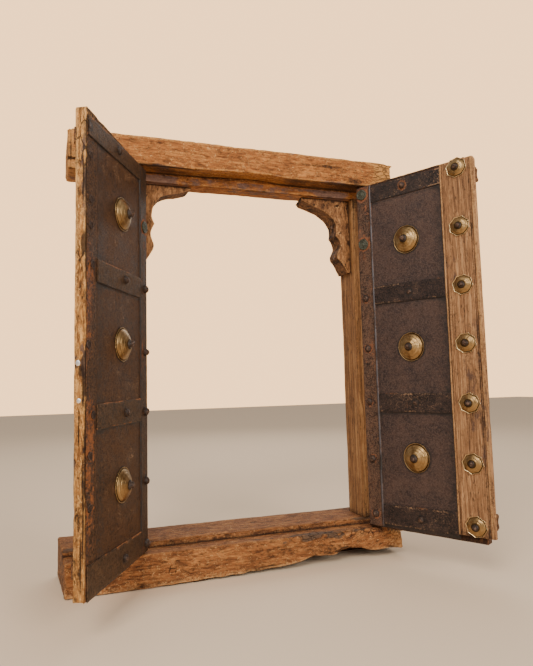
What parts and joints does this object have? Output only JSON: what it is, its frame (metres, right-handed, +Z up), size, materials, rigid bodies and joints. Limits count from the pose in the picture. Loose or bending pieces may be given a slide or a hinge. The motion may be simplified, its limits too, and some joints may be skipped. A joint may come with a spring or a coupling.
{
  "type": "jharokha window",
  "caption": "Small timber window frame with carved corner brackets and two iron-clad pivot-hung shutters with brass bosses.",
  "frame": {"origin": "on the sill's underside, midway between the shutters' two pivots and halfway through the frame's depth", "axes": "+Z up the window, +X along the frame to the right as seen from the room side, +Y out to the street side; the shutters open towards -Y"},
  "size_m": [0.5954, 0.2832, 0.6555],
  "materials": {
    "hewn_wood": "old hewn hardwood, dry and unpolished, worn edges",
    "jamb_wood": "old sawn hardwood, darker in the reveal, a few knots",
    "carved_wood": "carved hardwood, worn and speckled",
    "board_wood": "rough plank, worn free edge",
    "meeting_strip_wood": "grained hardwood moulding, hand polished by use",
    "iron_sheet": "dark brown oxidised sheet iron",
    "iron_strap": "wrought iron strip with rust along its edges",
    "iron_nail": "hand-forged nail head, dark and slightly glossy",
    "green_copper": "copper alloy washer with green-grey patina",
    "brass": "old brass with a dull patina and rubbed high spots"
  },
  "bodies": {
    "frame": {"lintel": "hewn_wood", "sill": "hewn_wood", "jamb_left": "jamb_wood", "jamb_right": "jamb_wood", "bracket_left": "carved_wood", "bracket_right": "carved_wood"},
    "left_shutter": {"left_board": "board_wood", "left_sheet": "iron_sheet", "left_hinge_strip": "iron_strap", "left_edge_strip": "iron_strap", "left_strap_1": "iron_strap", "left_strap_2": "iron_strap", "left_strap_3": "iron_strap", "left_strap_4": "iron_strap", "left_washer_1": "green_copper", "left_boss_1": "brass", "left_boss_2": "brass", "left_boss_3": "brass", "left_boss_nail_1": "iron_nail", "left_boss_nail_2": "iron_nail", "left_boss_nail_3": "iron_nail", "left_batten_top": "board_wood", "left_batten_bottom": "board_wood"},
    "right_shutter": {"right_board": "board_wood", "right_sheet": "iron_sheet", "right_hinge_strip": "iron_strap", "right_astragal": "meeting_strip_wood", "right_strap_1": "iron_strap", "right_strap_2": "iron_strap", "right_strap_3": "iron_strap", "right_strap_4": "iron_strap", "right_washer_1": "green_copper", "right_washer_2": "green_copper", "right_boss_1": "brass", "right_boss_2": "brass", "right_boss_3": "brass", "right_boss_nail_1": "iron_nail", "right_boss_nail_2": "iron_nail", "right_boss_nail_3": "iron_nail", "right_flower_1": "brass", "right_flower_2": "brass", "right_flower_3": "brass", "right_flower_4": "brass", "right_flower_5": "brass", "right_flower_6": "brass", "right_flower_7": "brass", "right_flower_nail_1": "iron_nail", "right_flower_nail_2": "iron_nail", "right_flower_nail_3": "iron_nail", "right_flower_nail_4": "iron_nail", "right_flower_nail_5": "iron_nail", "right_flower_nail_6": "iron_nail", "right_flower_nail_7": "iron_nail", "right_batten_top": "board_wood", "right_batten_bottom": "board_wood"}
  },
  "joints": [
    {"name": "left_shutter_hinge", "type": "hinge", "parent": "frame", "child": "left_shutter", "pos_m": [-0.186, -0.0485, 0.329], "axis": [0, 0, 1], "range_deg": [-53, 116.9]},
    {"name": "right_shutter_hinge", "type": "hinge", "parent": "frame", "child": "right_shutter", "pos_m": [0.186, -0.0485, 0.329], "axis": [0, 0, -1], "range_deg": [-50, 120.1]}
  ]
}
